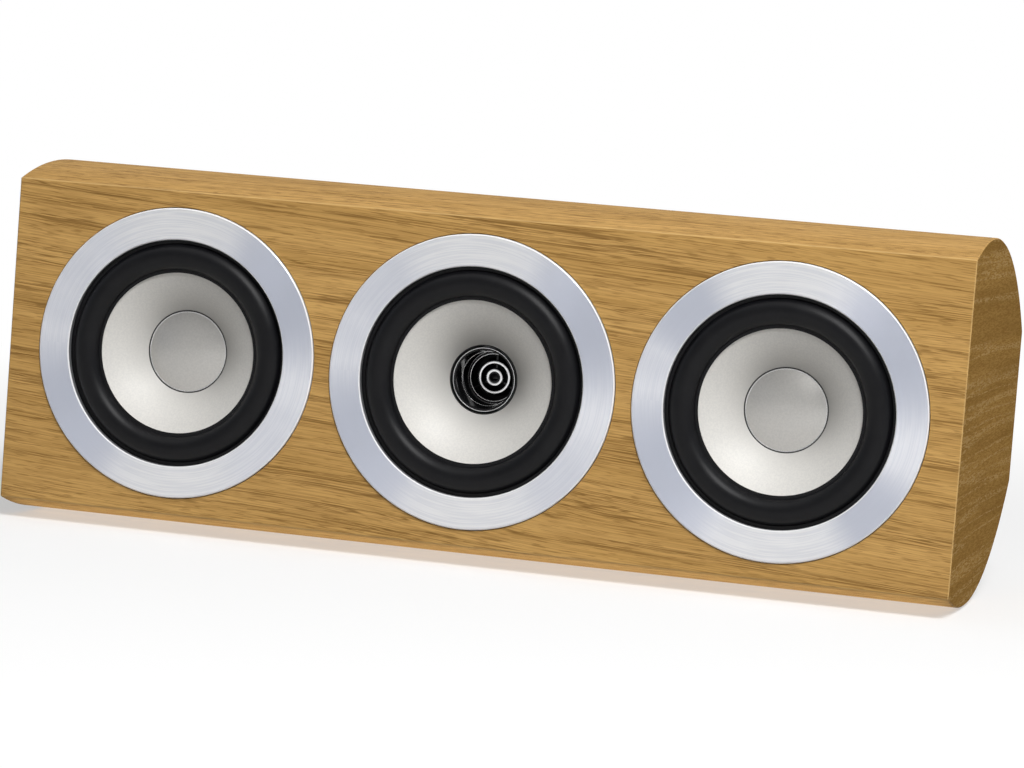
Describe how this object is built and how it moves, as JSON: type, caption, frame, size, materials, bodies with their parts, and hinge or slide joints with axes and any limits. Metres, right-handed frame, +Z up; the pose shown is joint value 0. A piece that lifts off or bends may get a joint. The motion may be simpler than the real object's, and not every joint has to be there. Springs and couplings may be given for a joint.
{
  "type": "center channel speaker",
  "caption": "Center channel speaker with a bowed wood-veneer cabinet, flat brushed metal rings, pearl cones, a horn in the middle driver and ports and posts at the back.",
  "frame": {"origin": "middle of the footprint, on the surface that the feet stand on", "axes": "+X along the width, +Y from the front towards the back, +Z up"},
  "size_m": [0.428, 0.1686, 0.16],
  "materials": {
    "wood_veneer": "satin lacquered golden veneer",
    "inner_board": "raw fibreboard",
    "brushed_aluminium": "circular brushed",
    "black_rubber": "soft satin rubber",
    "pearl_cone": "satin pearl silver",
    "gloss_black": "polished black",
    "black_plastic": "fine moulded grain",
    "red_plastic": "clear red moulding",
    "plated_brass": "bright plated",
    "cast_alloy": "black coated casting",
    "zinc_steel": "zinc plated",
    "ferrite": "dark fired ceramic magnet",
    "dome_metal": "thin drawn metal",
    "coil_former": "wound copper on a foil former",
    "spider_cloth": "treated cloth",
    "foam": "closed-cell foam",
    "circuit_board": "laminate",
    "copper_wire": "enamelled winding",
    "capacitor_film": "film wrap",
    "lead_jacket": "soft jacket",
    "wadding": "polyester wadding"
  },
  "bodies": {
    "cabinet": {"front_baffle": "wood_veneer", "top_panel": "wood_veneer", "bottom_panel": "wood_veneer", "left_end_panel": "wood_veneer", "right_end_panel": "wood_veneer", "rear_panel": "wood_veneer", "left_brace": "inner_board", "right_brace": "inner_board", "left_support_foot": "black_rubber", "right_support_foot": "black_rubber", "hf_waveguide": "gloss_black", "hf_phase_plug": "gloss_black", "hf_diaphragm": "dome_metal", "hf_rear_cup": "zinc_steel", "hf_magnet": "zinc_steel", "driver_gaskets": "foam", "mounting_screws": "zinc_steel", "terminal_panel": "black_plastic", "binding_posts": "plated_brass", "left_port_tube": "black_plastic", "right_port_tube": "black_plastic", "bracket_inserts": "plated_brass", "crossover_board": "circuit_board", "crossover_inductors": "copper_wire", "crossover_capacitors": "capacitor_film", "internal_leads": "lead_jacket", "damping_sheets": "wadding", "left_trim_ring": "brushed_aluminium", "left_basket": "cast_alloy", "left_surround": "black_rubber", "left_spider": "spider_cloth", "left_top_plate": "zinc_steel", "left_magnet": "ferrite", "left_yoke": "zinc_steel", "middle_trim_ring": "brushed_aluminium", "middle_basket": "cast_alloy", "middle_surround": "black_rubber", "middle_spider": "spider_cloth", "middle_top_plate": "zinc_steel", "middle_magnet": "ferrite", "middle_yoke": "zinc_steel", "right_trim_ring": "brushed_aluminium", "right_basket": "cast_alloy", "right_surround": "black_rubber", "right_spider": "spider_cloth", "right_top_plate": "zinc_steel", "right_magnet": "ferrite", "right_yoke": "zinc_steel"},
    "left_moving_cone": {"left_cone": "pearl_cone", "left_dust_cap": "pearl_cone", "left_voice_coil": "coil_former"},
    "middle_moving_cone": {"middle_cone": "pearl_cone", "middle_voice_coil": "coil_former"},
    "right_moving_cone": {"right_cone": "pearl_cone", "right_dust_cap": "pearl_cone", "right_voice_coil": "coil_former"},
    "red_insert": {"red_post_insert": "plated_brass"},
    "red_cap": {"red_post_cap": "red_plastic"},
    "black_insert": {"black_post_insert": "plated_brass"},
    "black_cap": {"black_post_cap": "gloss_black"}
  },
  "joints": [
    {"name": "left_cone_stroke", "type": "slide", "parent": "cabinet", "child": "left_moving_cone", "axis": [0, -1, 0], "range_m": [-0.003, 0.003], "stiffness_N_per_m": 1200, "deforming": ["left_surround", "left_spider"]},
    {"name": "middle_cone_stroke", "type": "slide", "parent": "cabinet", "child": "middle_moving_cone", "axis": [0, -1, 0], "range_m": [-0.003, 0.003], "stiffness_N_per_m": 1200, "deforming": ["middle_surround", "middle_spider"]},
    {"name": "right_cone_stroke", "type": "slide", "parent": "cabinet", "child": "right_moving_cone", "axis": [0, -1, 0], "range_m": [-0.003, 0.003], "stiffness_N_per_m": 1200, "deforming": ["right_surround", "right_spider"]},
    {"name": "red_cap_travel", "type": "slide", "parent": "cabinet", "child": "red_insert", "axis": [0, 1, 0], "range_m": [0, 0.004]},
    {"name": "red_cap_turn", "type": "hinge", "parent": "red_insert", "child": "red_cap", "pos_m": [0.00953, 0.06985, 0.0805], "axis": [0, 1, 0], "range_deg": [0, 1440]},
    {"name": "black_cap_travel", "type": "slide", "parent": "cabinet", "child": "black_insert", "axis": [0, 1, 0], "range_m": [0, 0.004]},
    {"name": "black_cap_turn", "type": "hinge", "parent": "black_insert", "child": "black_cap", "pos_m": [-0.00953, 0.06985, 0.0805], "axis": [0, 1, 0], "range_deg": [0, 1440]}
  ],
  "couplings": [
    {"joint": "red_cap_turn", "follows": "red_cap_travel", "rad_per_m": 6283.2},
    {"joint": "black_cap_turn", "follows": "black_cap_travel", "rad_per_m": 6283.2}
  ]
}
